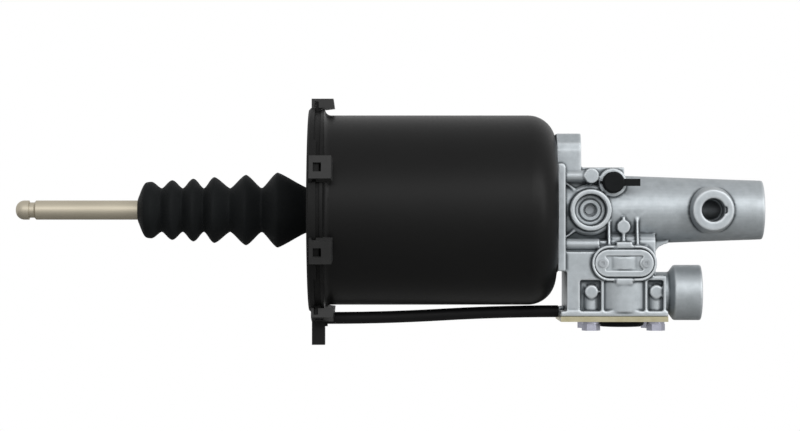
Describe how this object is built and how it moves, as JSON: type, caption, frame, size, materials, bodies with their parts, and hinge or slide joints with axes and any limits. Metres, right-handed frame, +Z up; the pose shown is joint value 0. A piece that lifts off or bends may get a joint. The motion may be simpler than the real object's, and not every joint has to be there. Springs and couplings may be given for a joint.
{
  "type": "clutch servo",
  "caption": "Pneumatic clutch servo: black cylinder can with push rod and rubber bellows, cast aluminium valve housing with hydraulic and air ports.",
  "frame": {"origin": "centre of the mounting face on the front cover, on the push rod's axis", "axes": "+X along the push rod's axis towards the valve housing, -X the way the rod pushes, +Z up with the base plate of the valve below"},
  "size_m": [0.466, 0.1342, 0.1533],
  "materials": {
    "rod_steel": "warm nickel plating",
    "ground_steel": "ground",
    "spring_steel": "oiled",
    "black_rubber": "matt",
    "cover_black": "moulded, satin",
    "clip_black": "satin coating",
    "can_black": "satin paint",
    "cast_aluminium": "die cast, shot blasted",
    "turned_aluminium": "turned",
    "bush_bronze": "plain",
    "pale_plastic": "plain",
    "zinc_plate": "yellow zinc plating",
    "zinc_bolt": "blue zinc plating"
  },
  "bodies": {
    "servo_body": {"cover": "cover_black", "cover_seal": "black_rubber", "retaining_clips": "clip_black", "guide_bush": "bush_bronze", "cylinder_can": "can_black", "plunger_gland": "turned_aluminium", "plunger_seal": "black_rubber", "gland_snap_ring": "spring_steel", "fixing_screws": "zinc_bolt", "register_seal": "black_rubber", "air_passage_seal": "black_rubber", "housing": "cast_aluminium", "valve_seat": "turned_aluminium", "valve_guide": "pale_plastic", "base_plate": "zinc_plate", "base_bolts": "zinc_bolt", "base_washers": "zinc_plate", "exhaust_grid": "zinc_plate", "exhaust_flap": "black_rubber", "oval_cover": "cast_aluminium", "cover_screws": "zinc_bolt", "port_sleeve": "turned_aluminium", "port_pin": "ground_steel", "bleeder_screw": "zinc_bolt", "dust_cap": "black_rubber", "vent_tube": "black_rubber", "boot": "black_rubber", "piston_spring": "spring_steel", "control_spring": "spring_steel", "valve_spring": "spring_steel"},
    "rod_unit": {"push_rod": "rod_steel", "air_piston": "turned_aluminium", "piston_seal": "black_rubber", "guide_ring": "pale_plastic", "hydraulic_plunger": "ground_steel"},
    "control_unit": {"control_piston": "ground_steel", "control_seal": "black_rubber"},
    "valve_unit": {"valve_face": "black_rubber", "valve_cone": "turned_aluminium"}
  },
  "joints": [
    {"name": "rod_stroke", "type": "slide", "parent": "servo_body", "child": "rod_unit", "axis": [-1, 0, 0], "range_m": [-0.075, 0.003], "stiffness_N_per_m": 300, "deforming": ["boot", "piston_spring"]},
    {"name": "control_travel", "type": "slide", "parent": "servo_body", "child": "control_unit", "axis": [0, 0, -1], "range_m": [0, 0.003], "stiffness_N_per_m": 1500, "deforming": ["control_spring"]},
    {"name": "valve_travel", "type": "slide", "parent": "servo_body", "child": "valve_unit", "axis": [0, 0, -1], "range_m": [0, 0.00225], "stiffness_N_per_m": 800, "deforming": ["valve_spring"]}
  ],
  "couplings": [
    {"joint": "valve_travel", "follows": "control_travel", "ratio": 0.75}
  ]
}
